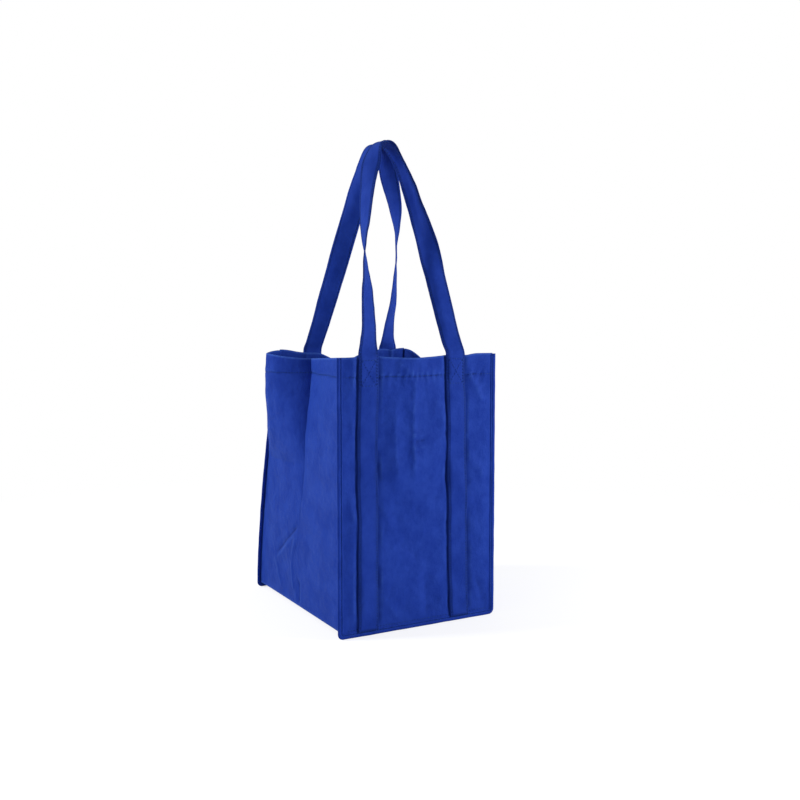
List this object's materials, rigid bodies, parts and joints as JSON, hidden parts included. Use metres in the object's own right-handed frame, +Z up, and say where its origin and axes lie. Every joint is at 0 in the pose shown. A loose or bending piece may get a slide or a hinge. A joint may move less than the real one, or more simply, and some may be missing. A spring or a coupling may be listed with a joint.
{
  "type": "wine bottle tote",
  "caption": "Open six-bottle carrier in non-woven fabric with folded side gussets, a divider grid inside and two long strap handles that meet above the mouth.",
  "frame": {"origin": "middle of the footprint, level with the underside of the two seam ridges that the tote stands on", "axes": "+Z up, front panel faces -Y, +X to the right as seen from the front"},
  "size_m": [0.2384, 0.2688, 0.6021],
  "materials": {
    "panel_cloth": "point-bonded non-woven polypropylene, dimpled and matte",
    "strap_cloth": "folded non-woven polypropylene, matte",
    "seam_tape": "folded non-woven tape, stitched",
    "divider_cloth": "two plies of non-woven polypropylene, matte",
    "stiffener_board": "pressed fibre and plastic board, matte"
  },
  "bodies": {
    "bag": {"front_panel": "panel_cloth", "back_panel": "panel_cloth", "left_gusset": "panel_cloth", "right_gusset": "panel_cloth", "bottom_panel": "panel_cloth", "front_seam_ridge": "seam_tape", "back_seam_ridge": "seam_tape", "front_left_strap": "strap_cloth", "front_right_strap": "strap_cloth", "back_left_strap": "strap_cloth", "back_right_strap": "strap_cloth", "centre_divider": "divider_cloth", "front_cross_divider": "divider_cloth", "rear_cross_divider": "divider_cloth", "base_board": "stiffener_board"},
    "front_handle": {"front_handle": "strap_cloth"},
    "back_handle": {"back_handle": "strap_cloth"}
  },
  "joints": [
    {"name": "front_handle_swing", "type": "hinge", "parent": "bag", "child": "front_handle", "pos_m": [0, -0.1346, 0.33215], "axis": [1, 0, 0], "range_deg": [0, 190]},
    {"name": "back_handle_swing", "type": "hinge", "parent": "bag", "child": "back_handle", "pos_m": [0, 0.07852, 0.33478], "axis": [-1, 0, 0], "range_deg": [0, 178]}
  ]
}
